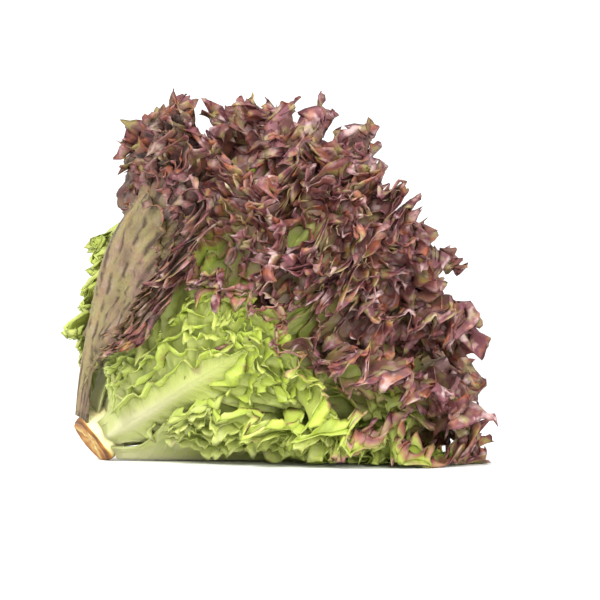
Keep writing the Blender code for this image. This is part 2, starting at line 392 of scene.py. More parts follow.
def rimPoint(plan, along):  # 0 is the tip, 1 and -1 are the foot's corners
    length, half, fanTop = plan["length"], plan["halfWidth"], leafShape["fanTop"]
    sideSteps, tipSteps = leafShape["rimSteps"]
    up = np.linspace(0.0, fanTop, sideSteps)
    widening = smooth(plan["stalkEnd"], plan["widestAt"], up)
    sideX = leafShape["stalkHalf"] + (half - leafShape["stalkHalf"]) * widening
    turn = np.linspace(0.0, 0.5 * math.pi, tipSteps)[1:]
    rimX = np.concatenate([sideX, half * np.cos(turn)])
    rimY = np.concatenate([up, fanTop + (1.0 - fanTop) * np.sin(turn)]) * length
    weight = np.where(rimY[1:] < leafShape["stalkRimEnd"] * length, leafShape["stalkRimWeight"], 1.0)
    walked = np.concatenate([[0.0], np.cumsum(np.hypot(np.diff(rimX), np.diff(rimY)) * weight)])
    place = (1.0 - np.abs(along)) * walked[-1]
    return np.sign(along) * np.interp(place, walked, rimX), np.interp(place, walked, rimY)


def rimLength(plan):  # half of the rim, from foot to tip
    x, y = rimPoint(plan, np.linspace(0.0, 1.0, 200))
    return float(np.sum(np.hypot(np.diff(x), np.diff(y))))


def ripple(value, paces, phases):  # an irregular wave, mostly between -1 and 1
    total = 0.0
    for pace, phase in zip(paces, phases):
        total = total + np.sin(fullTurn * pace * value + phase)
    return total / math.sqrt(len(paces))


def wrinkle(x, y, length, phases):  # irregular bumps over a surface, about one length apart
    total = 0.0
    for k, phase in enumerate(phases):
        direction = phase * 1.7 + k * 2.4
        pace = fullTurn / (length * (0.8 + 0.12 * k))
        total = total + np.sin(pace * (x * math.cos(direction) + y * math.sin(direction)) + phase)
    return total / math.sqrt(len(phases))


def leafSheet(plan, out, along):  # out runs from midrib to rim, along runs round the rim
    p, f = plan["phases"], plan["fine"]
    length = plan["length"]
    side = np.abs(along)
    frilled = smooth(*frill["side"], side)
    curlPhase = fullTurn * frill["curlWaves"] * along + frill["curlUneven"] * ripple(along, (2.3, 4.1, 6.7), f[0:3])
    curlAmount = (frill["curlMean"] + frill["curlChange"] * ripple(along, (3.7, 5.9), f[3:5])) * frilled
    drift = sum(np.sin(pace * along + phase) for pace, phase in zip(frill["driftPaces"], p))
    drift = frill["drift"] * drift * (1.0 - along ** 4)
    curled = smooth(frill["curlFrom"], 1.0, out)
    meander = frill["curlSide"] * np.sin(2.0 * curlPhase + f[5]) * curled * curlAmount / plan["rimLength"]
    rimX, rimY = rimPoint(plan, np.clip(along + drift + meander, -1.0, 1.0))
    footY = length * leafShape["ribReach"] * (1.0 - side) ** leafShape["ribCurve"]
    x = rimX * out
    y = footY + (rimY - footY) * out
    away = np.hypot(rimX, rimY - footY) + 1.0 * mm
    outX, outY = rimX / away, (rimY - footY) / away

    # folds and pleats, held within the room of the leaf's own shell
    strength = frill["pleatMean"] + frill["pleatChange"] * np.sin(frill["pleatPace"] * along + p[2])
    fold = np.cos(fullTurn * frill["foldWaves"] * along + p[3]) * smooth(frill["foldFrom"], 1.0, out)
    pleatWay = along + frill["pleatDrift"] * ripple(along, (3.1, 5.3), f[6:8])
    pleat = np.cos(fullTurn * frill["pleatWaves"] * pleatWay) * smooth(*frill["pleatSpan"], out)
    lift = (fold * frill["foldHeight"] + pleat * frill["pleatHeight"] * strength) * frilled
    gap = np.maximum(y, leafShape["nearest"]) * plan["gap"] * frill["room"]
    lift = gap * np.tanh(lift / gap) + plan["free"] * np.maximum(lift, 0.0)

    # the rim turns back where no leaf lies over it
    roomAbove = roomOver(plan, x, y)
    width, start = frill["recurveWidth"], frill["recurveFrom"]
    turnMost = frill["recurveTurn"] * (1.0 + frill["recurveChange"] * ripple(along, (1.3, 2.9), f[8:10]))
    turnMost = turnMost * plan["recurve"] * np.clip(roomAbove / width, 0.0, 1.0)
    turnMost = np.maximum(turnMost, frill["leastTurn"])
    bent = np.clip((out - start) / (1.0 - start), 0.0, 1.0) * smooth(*frill["recurveSide"], side)
    lift = lift + width / turnMost * (1.0 - np.cos(turnMost * bent))
    pull = width * bent - width / turnMost * np.sin(turnMost * bent)

    # curls, teeth and crumples
    curl = np.sin(curlPhase + frill["curlLean"] * out) * curlAmount
    lift = lift + frill["curlHeight"] * curl * curled
    tooth = frill["toothLength"] * np.sin(fullTurn * frill["foldWaves"] * along + p[4])
    inward = frill["curlReach"] * np.cos(curlPhase + f[10]) * curlAmount * smooth(frill["curlReachFrom"], 1.0, out)
    x = x - (pull + inward) * outX
    y = y - (pull + inward) * outY
    y = y + (tooth - frill["curlBack"] * frill["pleatHeight"]) * pleat * frilled
    crumple = wrinkle(x, y, frill["crumpleLength"], f[11:17])
    lift = lift + frill["crumple"] * crumple * smooth(*frill["crumpleSpan"], out) * frilled

    # raised veins with pockets between them, and a mask for painted shade in the furrows between the veins
    fanned = np.arctan2(x, y + blade["rayFoot"])
    veinPlace = along + plan["fan"] * (fanned - along)
    veinPlace = veinPlace + blade["veinDrift"] * np.sin(9.0 * out + 14.0 * along + f[17])
    vein = 1.0 - np.abs(np.sin(math.pi * plan["veins"] * veinPlace))
    fineVein = 1.0 - np.abs(np.sin(blade["fineVeins"] * math.pi * plan["veins"] * veinPlace + 2.0 * out + f[18]))
    onBlade = smooth(*blade["outSpan"], out) * smooth(*blade["rimSpan"], out) * smooth(*blade["footSpan"], y / length)
    pockets = np.abs(wrinkle(x, y, blade["pocketLength"], f[18:24]))
    relief = blade["veinHeight"] * vein ** 2 + blade["fineVeinHeight"] * fineVein - blade["pocket"] * pockets
    lift = lift + relief * onBlade * plan["relief"]
    patches = ripple(x / blade["furrowShadeLength"], (1.0, 1.7), f[0:2])
    patches = patches + ripple(y / blade["furrowShadeLength"], (0.5, 0.8), f[2:4])
    furrowShade = onBlade * (1.0 - vein) ** 2 * smooth(blade["furrowShadeFrom"], 1.0, patches)
    return x, y, lift, {"outX": outX, "outY": outY, "vein": vein * onBlade, "pocket": pockets * onBlade,
                        "furrowShade": furrowShade, "way": 0.5 * out + 0.5 * y / length, "roomAbove": roomAbove,
                        "veinPlace": veinPlace}


def azimuthAt(plan, x, y):  # the leaf wraps round its axis, never quite all the way
    limit = leafShape["wrapLimit"]
    radius = plan["baseRadius"] + y * math.sin(plan["stand"])
    return plan["azimuth"] + limit * np.tanh(x / (radius * limit)) + plan["lean"] * (y / plan["length"]) ** 2


def leafToWorld(plan, x, y, lift):
    angle = standAt(plan, y) + lift / np.maximum(y, leafShape["nearest"])
    return headToWorld(y, angle, azimuthAt(plan, x, y), plan["baseHeight"], plan["baseRadius"])


def standAt(plan, y):
    straight = smooth(0.0, leafShape["bulgeEnd"], y / head["radius"])
    return plan["stand"] * (1.0 + plan["bulge"] * (1.0 - straight))


def roomOver(plan, x, y):  # how far a point may rise before it meets a leaf outside it, or the floor
    azimuth, angle = azimuthAt(plan, x, y), standAt(plan, y)
    high = plan["baseHeight"] + y * np.cos(angle)
    wide = plan["baseRadius"] + y * np.sin(angle)
    room = np.full(np.shape(y), ribbon["openRoom"])
    limit, stalk, fanTop = leafShape["wrapLimit"], leafShape["stalkHalf"], leafShape["fanTop"]
    for outer in plans[plan["number"]:]:
        rise, spread = high - outer["baseHeight"], wide - outer["baseRadius"]
        far = np.hypot(rise, spread)
        share = far / outer["length"]
        turn = azimuth - outer["azimuth"] - outer["lean"] * share ** 2
        turn = (turn + math.pi) % fullTurn - math.pi
        bounded = np.clip(turn / limit, -0.999, 0.999)
        across = (outer["baseRadius"] + far * math.sin(outer["stand"])) * limit
        across = np.abs(across * np.arctanh(bounded))
        half = stalk + (outer["halfWidth"] - stalk) * smooth(outer["stalkEnd"], outer["widestAt"], share)
        half = half * np.sqrt(1.0 - np.clip((share - fanTop) / (1.0 - fanTop), 0.0, 1.0) ** 2)
        covered = (across < half + ribbon["coverMargin"]) & (share < 1.0)
        between = (standAt(outer, far) - np.arctan2(spread, rise)) * far
        covered = covered & (between > -ribbon["crossing"])
        room = np.where(covered, np.minimum(room, np.maximum(between, 0.0)), room)
    height = leafToWorld(plan, x, y, np.zeros(np.shape(y)))[..., 2]
    down = -math.sin(plan["azimuth"])
    toFloor = ribbon["floorRoom"] * height / max(ribbon["leastDown"], down)
    return np.minimum(room, toFloor) if down > 0.0 else room


def leafNet(rows):  # rows of (place, steps), joined by triangles from each row to the next
    outPlaces, alongPlaces, numbered = [], [], []
    for place, steps in rows:
        first = len(outPlaces)
        marks = [-1.0 + 2.0 * k / steps for k in range(steps + 1)]
        if place == 0.0:  # both halves of the leaf share the midrib
            half = steps // 2
            outPlaces.extend([0.0] * (half + 1))
            alongPlaces.extend(marks[:half + 1])
            numbers = [first + min(k, steps - k) for k in range(steps + 1)]
        else:
            outPlaces.extend([place] * (steps + 1))
            alongPlaces.extend(marks)
            numbers = list(range(first, first + steps + 1))
        numbered.append((marks, numbers))
    triangles = []
    for (marksIn, numbersIn), (marksOut, numbersOut) in zip(numbered[:-1], numbered[1:]):
        i = j = 0
        while i < len(marksIn) - 1 or j < len(marksOut) - 1:
            stepOut = i == len(marksIn) - 1 or (
                j < len(marksOut) - 1 and marksOut[j + 1] <= marksIn[i + 1] + 1e-9)
            if stepOut:
                triangles.append((numbersIn[i], numbersOut[j], numbersOut[j + 1]))
                j += 1
            else:
                triangles.append((numbersIn[i], numbersOut[j], numbersIn[i + 1]))
                i += 1
    return np.array(outPlaces), np.array(alongPlaces), np.array(triangles)


def pointNormals(points, triangles):
    a, b, c = (points[triangles[:, k]] for k in range(3))
    face = np.cross(b - a, c - a)
    normals = np.zeros_like(points)
    for k in range(3):
        np.add.at(normals, triangles[:, k], face)
    return normals / np.maximum(np.linalg.norm(normals, axis=1), 1e-12)[:, None]


def openEdges(triangles):
    edges = np.concatenate([triangles[:, (0, 1)], triangles[:, (1, 2)], triangles[:, (2, 0)]])
    size = int(triangles.max()) + 1
    forward = edges[:, 0] * size + edges[:, 1]
    backward = edges[:, 1] * size + edges[:, 0]
    return edges[~np.isin(forward, backward)]


def makeMesh(name, points, triangles, uv, facts, sides, materials):
    mesh = bpy.data.meshes.new(name)
    mesh.vertices.add(len(points))
    mesh.vertices.foreach_set("co", points.astype(np.float32).ravel())
    mesh.loops.add(3 * len(triangles))
    mesh.loops.foreach_set("vertex_index", triangles.astype(np.int32).ravel())
    mesh.polygons.add(len(triangles))
    mesh.polygons.foreach_set("loop_start", np.arange(0, 3 * len(triangles), 3, dtype=np.int32))
    mesh.polygons.foreach_set("material_index", sides.astype(np.int32))
    layer = mesh.uv_layers.new(name="leafWay")
    layer.data.foreach_set("uv", uv[triangles.ravel()].astype(np.float32).ravel())
    for fact, values in facts.items():
        attribute = mesh.attributes.new(fact, "FLOAT", "POINT")
        attribute.data.foreach_set("value", values.astype(np.float32))
    for material in materials:
        mesh.materials.append(material)
    mesh.update(calc_edges=True)
    mesh.validate()
    mesh.shade_smooth()
    piece = bpy.data.objects.new(name, mesh)
    bpy.context.collection.objects.link(piece)
    return piece


def leafFacts(plan, x, y, facts, seeds):  # what the blade's material reads, point by point
    red = ruleFor(blush, plan["number"])
    uneven = wrinkle(x, y, tint["unevenLength"], seeds[0:5])
    way = facts["way"] + tint["uneven"] * uneven + red.get("side", 0.0) * x / plan["halfWidth"]
    redness = (way - red["start"]) / (red["full"] - red["start"])
    redness = np.maximum(np.clip(redness, 0.0, 1.0), red["wash"])
    foot = y / plan["length"]
    upRib = np.clip(foot / leafShape["ribReach"], 0.0, 1.0) ** (1.0 / leafShape["ribCurve"])
    rib = (1.0 - upRib) ** leafShape["ribFade"] * np.exp(-(x / leafShape["ribWidth"]) ** 2)
    pale = tint["footPale"] * np.exp(-foot / tint["footPaleEnd"]) + tint["ribPale"] * rib
    pale = np.clip(pale + tint["veinPale"] * facts["vein"], 0.0, 1.0)
    return rib, {"blush": redness, "pale": pale * plan["paleness"], "pocket": facts["pocket"]}


def closeShell(middle, normals, triangles, thickness, rise):
    back = middle + normals * (0.5 * thickness + rise)[:, None]
    front = middle - normals * (0.5 * thickness)[:, None]
    count = len(middle)
    border = openEdges(triangles)
    a, b = border[:, 0], border[:, 1]
    edging = np.concatenate([np.stack([b, a, a + count], 1), np.stack([b, a + count, b + count], 1)])
    faces = np.concatenate([triangles, triangles[:, (0, 2, 1)] + count, edging])
    sides = np.zeros(len(faces), dtype=int)
    sides[len(triangles):2 * len(triangles)] = 1
    return np.concatenate([back, front]), faces, sides


def thinShell(middle, normals, triangles, thickness):  # both faces meet at the border, as a thin edge does
    border = np.zeros(len(middle), dtype=bool)
    border[np.unique(openEdges(triangles))] = True
    half = 0.5 * thickness * np.where(border, 0.0, 1.0)[:, None]
    count = len(middle)
    behind = np.where(border, 0, count) + np.arange(count)
    faces = np.concatenate([triangles, behind[triangles[:, (0, 2, 1)]]])
    sides = np.zeros(len(faces), dtype=int)
    sides[len(triangles):] = 1
    return np.concatenate([middle + normals * half, middle - normals * half]), faces, sides


def outwardNormals(points, triangles):
    normals = pointNormals(points, triangles)
    outward = points - np.array(head["butt"])
    axis = np.array([math.cos(head["tilt"]), 0.0, math.sin(head["tilt"])])
    outward = outward - (outward @ axis)[:, None] * axis
    if np.sum(normals * outward) < 0.0:
        return -normals, triangles[:, (0, 2, 1)]
    return normals, triangles


def leafBlade(plan):
    number = plan["number"]
    share = blade["coarseShare"] if number < blade["coarseBelow"] else 1.0
    columnsIn = 2 * round(blade["columnsIn"] * share / 2)
    columnsOut = 2 * round(blade["columnsOut"] * share / 2)
    rows = [(place, columnsIn) for place in blade["rowsIn"]]
    rows += [(place, columnsOut) for place in blade["rowsOut"]]
    out, along, triangles = leafNet(rows)
    x, y, lift, facts = leafSheet(plan, out, along)
    middle = leafToWorld(plan, x, y, lift)
    normals, triangles = outwardNormals(middle, triangles)
    # painted shade on the blade: darker where the strips stand, where it lies open, and in the furrows
    first = ruleFor(ribbon["from"], number)
    start, full = tint["paintedShadeSpan"]
    paintedShade = tint["bladePaintedShade"] * smooth(first + start, first + full, out)
    paintedShade = paintedShade * smooth(*tint["paintedShadeRoom"], facts["roomAbove"])
    paintedShade = np.maximum(paintedShade, plan["furrowShadeStrength"] * facts["furrowShade"])
    uv = np.stack([0.5 * (facts["veinPlace"] + 1.0), out], axis=-1)
    rib, facts = leafFacts(plan, x, y, facts, plan["fine"])
    facts["paintedShade"] = paintedShade
    stalk = 1.0 - smooth(0.0, leafShape["stalkFade"], y / plan["length"])
    thickness = leafShape["thickness"] + (leafShape["stalkThickness"] - leafShape["thickness"]) * stalk
    thickness = thickness * (1.0 - leafShape["rimThinning"] * smooth(leafShape["rimFrom"], 1.0, out) * (1.0 - stalk))
    rise = leafShape["ribHeight"] * plan["share"] * rib
    points, faces, sides = closeShell(middle, normals, triangles, thickness, rise)
    return points, faces, sides, uv, facts


def ribbonRow(plan, row, draw):  # one strip: its foot follows the blade, its rim meanders
    number, walk = plan["number"], plan["rimLength"] * row
    seeds = [draw.uniform(0.0, fullTurn) for _ in range(16)]
    sideEnd = ruleFor(ribbon["sideEnd"], number)
    until = ruleFor(ribbon["until"], number) * sideEnd
    step = ribbon["rearStep"] if number in ribbon["rearLeaves"] else ribbon["step"]
    count = int((sideEnd + until) * walk / step)
    along = np.linspace(-sideEnd, until, count + 1)
    place = along * walk
    foot = np.clip(row + ribbon["rowDrift"] * ripple(along, (2.3, 4.9, 8.1), seeds[0:3]), 0.0, ribbon["lastFoot"])
    x0, y0, lift0, at = leafSheet(plan, foot, along)
    room = at["roomAbove"]
    onRim = row > ribbon["rimRows"]
    keep = room > (ribbon["leastRoom"] if onRim else ruleFor(ribbon["leastRoomInside"], number))
    inward = onRim and number in ribbon["inwardRims"]  # a rim that turns up from the floor
    if inward:
        room, keep = np.full(len(room), ribbon["openRoom"]), np.full(len(room), True)
    run = 2 * round(0.5 * ribbon["taper"] / step) + 1
    kept = np.convolve(keep.astype(float), np.ones(run) / run, mode="same")  # about 0.5 where a strip stops
    keep = keep & (kept > 0.5)
    scale = np.clip(room / (ribbon["roomFull"] * ribbon["height"]), ribbon["leastScale"], 1.0)
    scale = scale * smooth(*ribbon["taperSpan"], kept)
    ends = smooth(sideEnd, sideEnd - ribbon["sideTaper"], np.abs(along))
    ends = ends * smooth(until, until - ribbon["untilTaper"], along)
    wavePlace = place / ribbon["wave"]
    size = ribbon["heightMean"] + ribbon["heightChange"] * ripple(wavePlace, (0.31, 0.57, 0.83), seeds[3:6])
    size = np.clip(size, *ribbon["heightLimits"]) * scale * ruleFor(ribbon["size"], number)
    size = size * (ribbon["endSize"] + (1.0 - ribbon["endSize"]) * ends)
    phase = ribbon["waveUneven"] * ripple(wavePlace, (0.23, 0.41, 0.67), seeds[6:9])
    phase = fullTurn * place / ribbon["wave"] + phase
    rise = ribbon["rise"] + ribbon["riseChange"] * ripple(wavePlace, (0.27, 0.47), seeds[9:11])
    curlOver = ribbon["curlOver"] * ripple(wavePlace, (0.37, 0.71), seeds[11:13])
    swing = ribbon["swingMean"] + ribbon["swingChange"] * ripple(wavePlace, (0.29, 0.53), seeds[13:15])

    # v runs up the strip, which leans outwards, swings aside more towards its rim and curls over
    v = np.linspace(0.0, 1.0, ribbon["cellsUp"] + 1)[None, :]
    place, phase, rise, curlOver, swing, size = (a[:, None] for a in (place, phase, rise, curlOver, swing, size))
    tooth = np.sin(fullTurn * place / ribbon["toothWave"] + 2.0 * np.sin(0.5 * phase))
    tall = ribbon["height"] * size * v * (1.0 + ribbon["teeth"] * tooth * v ** 2)
    fine = np.sin(fullTurn * place / ribbon["fineWave"] + 1.5 * np.sin(0.7 * phase) + seeds[15])
    aside = ribbon["meander"] * size * swing * np.sin(phase) * v ** 1.1
    aside = aside + ribbon["fineMeander"] * size * fine * v ** 1.6 + curlOver * tall * v ** 2
    reachOut = tall * np.cos(rise) - aside * np.sin(rise)
    reachUp = tall * np.sin(rise) + aside * np.cos(rise) - ribbon["sunk"] * (1.0 - v)
    sideways = -ribbon["loop"] * size * np.sin(2.0 * phase + 0.6) * v ** 1.3
    sideways = sideways + ribbon["fineShift"] * ribbon["fineMeander"] * size * fine * v
    outX, outY = at["outX"][:, None], at["outY"][:, None]
    x = x0[:, None] + outX * reachOut - outY * sideways
    y = y0[:, None] + outY * reachOut + outX * sideways
    lift = lift0[:, None] + np.maximum(reachUp, -ribbon["lowest"]) * (-1.0 if inward else 1.0)
    roof = np.maximum(ribbon["roomUsed"] * room, lift0)[:, None]  # below the leaf that lies over it
    lift = np.where(room[:, None] < ribbon["openRoom"], np.minimum(lift, roof), lift)

    # only kept stretches become faces
    rows, columns = count + 1, ribbon["cellsUp"] + 1
    corner = np.arange(rows * columns).reshape(rows, columns)
    both = keep[:-1] & keep[1:]
    a, b = corner[:-1, :-1][both].ravel(), corner[1:, :-1][both].ravel()
    c, d = corner[1:, 1:][both].ravel(), corner[:-1, 1:][both].ravel()
    net = np.concatenate([np.stack([a, b, c], 1), np.stack([a, c, d], 1)])
    if len(net) == 0:
        return None
    used = np.unique(net)
    newNumber = np.zeros(rows * columns, dtype=int)
    newNumber[used] = np.arange(len(used))
    net = newNumber[net]
    shape = (rows, columns)
    flat = [np.broadcast_to(part, shape).ravel()[used] for part in (x, y, lift, at["way"][:, None], v, along[:, None])]
    px, py, pz, way, up, along = flat
    middle = leafToWorld(plan, px, py, pz)
    normals = pointNormals(middle, net)
    none = np.zeros(len(middle))
    way = way + tint["rimBlush"] * up - tint["rimBlushStart"]
    facts = leafFacts(plan, px, py, {"way": way, "vein": none, "pocket": none}, plan["fine"])[1]
    # painted shade, darker towards the strip's foot
    facts["paintedShade"] = smooth(tint["ribbonPaintedShadeEnd"], 0.0, up)
    points, faces, sides = thinShell(middle, normals, net, ribbon["thickness"])
    uv = np.stack([0.5 * (along + 1.0), up], axis=-1)
    return points, faces, sides, uv, facts


def leafRibbons(plan):
    draw = random.Random(ribbon["seed"] + plan["number"])
    first = ruleFor(ribbon["from"], plan["number"])
    strips = [ribbonRow(plan, row, draw) for row in ribbon["rows"] if row >= first]
    return [strip for strip in strips if strip is not None]


def makeLeaf(plan, materials):
    parts = [leafBlade(plan)] + leafRibbons(plan)
    points, faces, sides, uvs = [], [], [], []
    facts = {"blush": [], "pale": [], "pocket": [], "paintedShade": []}
    count = 0
    for partPoints, partFaces, partSides, uv, partFacts in parts:
        points.append(partPoints)
        faces.append(partFaces + count)
        sides.append(partSides)
        uvs.extend([uv, uv])
        for key in facts:
            facts[key].extend([partFacts[key], partFacts[key]])
        count += len(partPoints)
    points = np.concatenate(points)
    points[:, 2] = np.maximum(points[:, 2], 0.0)
    facts = {key: np.concatenate(values) for key, values in facts.items()}
    number = plan["number"]
    piece = makeMesh("lettuce_leaf_%02d" % number, points, np.concatenate(faces), np.concatenate(uvs),
                     facts, np.concatenate(sides), materials)
    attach(piece, "root")
    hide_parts("leaf_%02d" % number)
    return len(piece.data.polygons)


# Lettuce blade: thin, wet living tissue, so light comes through it and it has a soft waxy sheen.
# The back is a little paler than the front. The outermost back has aged to taupe: its vein lines are
# closer together, with painted shade in the furrows between them, so that it looks leathery.
leafColours = {
    # hollow and the last two colours of each set are painted shade, for the pockets, the strips' feet and the furrows
    "back": {"pale": "#C4C298", "green": "#BCC662", "hollow": "#8A9A34", "bronze": "#A8965E",
             "red": "#9E6A68", "dark": "#74424A", "lavender": "#CBACAA", "rust": "#B06C48",
             "olive": "#B4B06C", "greenPaintedShade": "#A2AE50", "redPaintedShade": "#5A3E34"},
    "front": {"pale": "#C8CE92", "green": "#B2C24C", "hollow": "#74882A", "bronze": "#9A7E48",
              "red": "#925A50", "dark": "#663638", "lavender": "#AC8280", "rust": "#A25830",
              "olive": "#A09C50", "greenPaintedShade": "#98A644", "redPaintedShade": "#4A302A"},
    "taupe": {"pale": "#A4966C", "green": "#9A9060", "hollow": "#827848", "bronze": "#94845E",
              "red": "#8C6C62", "dark": "#74424A", "lavender": "#AE9888", "rust": "#9E6A4A",
              "olive": "#968C5A", "greenPaintedShade": "#54442A", "redPaintedShade": "#42302A"},
    "lavenderShare": 0.95,
    "rustShare": 0.6,
    "oliveShare": 0.5,
    # how strong the painted shade is
    "paintedShadeShare": 0.62,
    "kindLength": 7.0 * mm,
    "roughness": 0.46,
    "through": 0.30,
    "mottleLength": 5.0 * mm,
    "patchLength": 22.0 * mm,
    "fineVeins": {"rule": 90.0, "taupe": 66.0},
    # how much painted shade the fine furrows get
    "furrowShadeShare": {"rule": 0.0, "taupe": 0.95},
    "bumpHeight": {"rule": 0.5 * mm, "taupe": 1.5 * mm},
    "veinPaleness": 0.35,
    "grainLength": 1.4 * mm,
    "ior": 1.42,
    "bumpStrength": 0.55,
}


def factOf(tree, name):
    return addNode(tree, "ShaderNodeAttribute", attribute_name=name).outputs["Fac"]


def noiseOf(tree, where, length, detail):
    return addNode(tree, "ShaderNodeTexNoise", {"Scale": 1.0 / length, "Detail": detail}, {"Vector": where}).outputs


def reckon(tree, operation, values, feeds, clamped=False):
    return addNode(tree, "ShaderNodeMath", values, feeds, operation=operation, use_clamp=clamped).outputs[0]


def remap(tree, source, low, high, atLow, atHigh):
    return addNode(tree, "ShaderNodeMapRange", {1: low, 2: high, 3: atLow, 4: atHigh}, {0: source}).outputs[0]


def blend(tree, share, under, over):  # under and over are hex colours or sockets
    sides = {6: under, 7: over}
    values = {k: toLinear(side) for k, side in sides.items() if isinstance(side, str)}
    feeds = {k: side for k, side in sides.items() if k not in values}
    return addNode(tree, "ShaderNodeMix", values, {0: share, **feeds}, data_type="RGBA").outputs[2]


def rampOf(tree, source, stops):
    ramp = addNode(tree, "ShaderNodeValToRGB", {}, {"Fac": source})
    elements = ramp.color_ramp.elements
    for element, (place, colour) in zip(elements, (stops[0], stops[-1])):
        element.position = place
        element.color = toLinear(colour)
    for place, colour in stops[1:-1]:
        elements.new(place).color = toLinear(colour)
    return ramp.outputs["Color"]


def newMaterial(name):
    material = bpy.data.materials.new(name)
    material.use_nodes = True
    material.node_tree.nodes.clear()
    return material, material.node_tree


def lettuceBlade(name, kindOf):
    colours = leafColours[kindOf]
    fineVeins, furrowShadeShare, bumpHeight = (
        ruleFor(leafColours[key], kindOf) for key in ("fineVeins", "furrowShadeShare", "bumpHeight"))
    material, tree = newMaterial(name)
    where = addNode(tree, "ShaderNodeTexCoord").outputs["Object"]
    blushed, paled, pocket, paintedShade = (factOf(tree, key) for key in ("blush", "pale", "pocket", "paintedShade"))
    patch = noiseOf(tree, where, leafColours["patchLength"], 3.0)["Fac"]
    mottle = noiseOf(tree, where, leafColours["mottleLength"], 4.0)["Fac"]
    grain = noiseOf(tree, where, leafColours["grainLength"], 2.0)["Fac"]
    kinds = noiseOf(tree, where, leafColours["kindLength"], 2.0)["Color"]
    kind = addNode(tree, "ShaderNodeSeparateColor", {}, {"Color": kinds}).outputs

    # fine vein lines, bent by the mottles
    way = addNode(tree, "ShaderNodeUVMap", uv_map="leafWay").outputs["UV"]
    across = addNode(tree, "ShaderNodeSeparateXYZ", {}, {"Vector": way}).outputs["X"]
    veins = reckon(tree, "MULTIPLY_ADD", {1: fineVeins}, {0: across, 2: mottle})
    veins = reckon(tree, "PINGPONG", {1: 1.0}, {0: veins})
    veinLine = remap(tree, veins, 0.0, 0.25, leafColours["veinPaleness"], 0.0)

    # the blush, moved by mottles and patches, picks green, bronze, red or dark
    moved = reckon(tree, "MULTIPLY", {1: 0.9}, {0: mottle})
    moved = reckon(tree, "ADD", {1: -0.45}, {0: moved})
    moved = reckon(tree, "ADD", {}, {0: moved, 1: blushed})
    patched = reckon(tree, "MULTIPLY_ADD", {1: -1.1, 2: 0.42}, {0: patch})
    moved = reckon(tree, "ADD", {}, {0: patched, 1: moved})
    hues = rampOf(tree, moved, [(0.02, colours["green"]), (0.22, colours["bronze"]),
                                (0.50, colours["red"]), (0.92, colours["dark"])])

    # painted shade: pockets get a darker green where the blade isn't red
    hollow = blend(tree, reckon(tree, "MULTIPLY", {1: 0.9}, {0: pocket}, True), hues, colours["hollow"])
    hues = blend(tree, remap(tree, moved, 0.0, 0.5, 1.0, 0.0), hues, hollow)

    # spots of other hues in the red part
    for hue, source in (("lavender", "Red"), ("rust", "Green"), ("olive", "Blue")):
        share = remap(tree, kind[source], 0.52, 0.66, 0.0, leafColours[hue + "Share"])
        share = reckon(tree, "MULTIPLY", {}, {0: share, 1: blushed}, True)
        hues = blend(tree, share, hues, colours[hue])

    # pale stalk, midrib and veins, less so where it is red
    paleShare = reckon(tree, "ADD", {}, {0: paled, 1: veinLine}, True)
    paleShare = remap(tree, paleShare, 0.0, 1.0, 0.0, 0.95)
    notBlush = remap(tree, blushed, 0.0, 1.0, 1.0, 0.25)
    hues = blend(tree, reckon(tree, "MULTIPLY", {}, {0: paleShare, 1: notBlush}), hues, colours["pale"])

    # painted shade: darker on the blade between strips and at the strips' feet, and in broken furrows between vein
    # lines
    shade = remap(tree, paintedShade, 0.0, 1.0, 0.0, leafColours["paintedShadeShare"])
    furrowShade = remap(tree, veins, 0.40, 0.90, 0.0, furrowShadeShare)
    broken = remap(tree, kind["Red"], 0.42, 0.56, 0.15, 1.0)
    shade = reckon(tree, "MULTIPLY_ADD", {}, {0: furrowShade, 1: broken, 2: shade}, True)
    colour = blend(tree, shade, hues, blend(tree, blushed, colours["greenPaintedShade"], colours["redPaintedShade"]))

    height = reckon(tree, "MULTIPLY_ADD", {1: 0.45}, {0: mottle, 2: grain})
    height = reckon(tree, "MULTIPLY_ADD", {1: 1.2}, {0: veinLine, 2: height})
    bump = addNode(tree, "ShaderNodeBump", {"Strength": leafColours["bumpStrength"], "Distance": bumpHeight},
                   {"Height": height}).outputs["Normal"]
    skin = addNode(tree, "ShaderNodeBsdfPrincipled",
                   {"Roughness": leafColours["roughness"], "IOR": leafColours["ior"], "Specular IOR Level": 0.5},
                   {"Base Color": colour, "Normal": bump})
    through = addNode(tree, "ShaderNodeBsdfTranslucent", {}, {"Color": colour, "Normal": bump})
    both = addNode(tree, "ShaderNodeMixShader", {"Fac": leafColours["through"]},
                   {1: skin.outputs[0], 2: through.outputs[0]})
    addNode(tree, "ShaderNodeOutputMaterial", {}, {"Surface": both.outputs[0]})
    return material


leafMaterials = [lettuceBlade("lettuceBladeBack", "back"), lettuceBlade("lettuceBladeFront", "front")]
taupeMaterials = [lettuceBlade("lettuceBladeTaupe", "taupe"), leafMaterials[1]]
plans = [planLeaf(number) for number in range(1, head["leaves"] + 1)]
for plan in plans:
    plan["rimLength"] = rimLength(plan)
faceCount = sum(makeLeaf(plan, taupeMaterials if plan["number"] == head["taupeLeaf"] else leafMaterials)
                for plan in plans)
print("leaves made, %d faces" % faceCount)


# Cut stem: pale pith that browned where the knife went through
stemColours = {
    "side": "#D3CE98",
    "pith": "#C9B26A",
    "rust": "#A0682C",
    "char": "#5A3B20",
    "roughness": 0.62,
    "spotLength": 4.0 * mm,
    "fibreLength": 0.9 * mm,
    "ior": 1.42,
    "bumpStrength": 0.6,
    "bumpHeight": 0.4 * mm,
    "faceBrown": (0.45, 0.30, 0.12),  # in the middle, more at the edge, change round the stem
    "sideBrown": (0.92, 0.14, 0.10),  # at the cut, where it ends, change round the stem
}


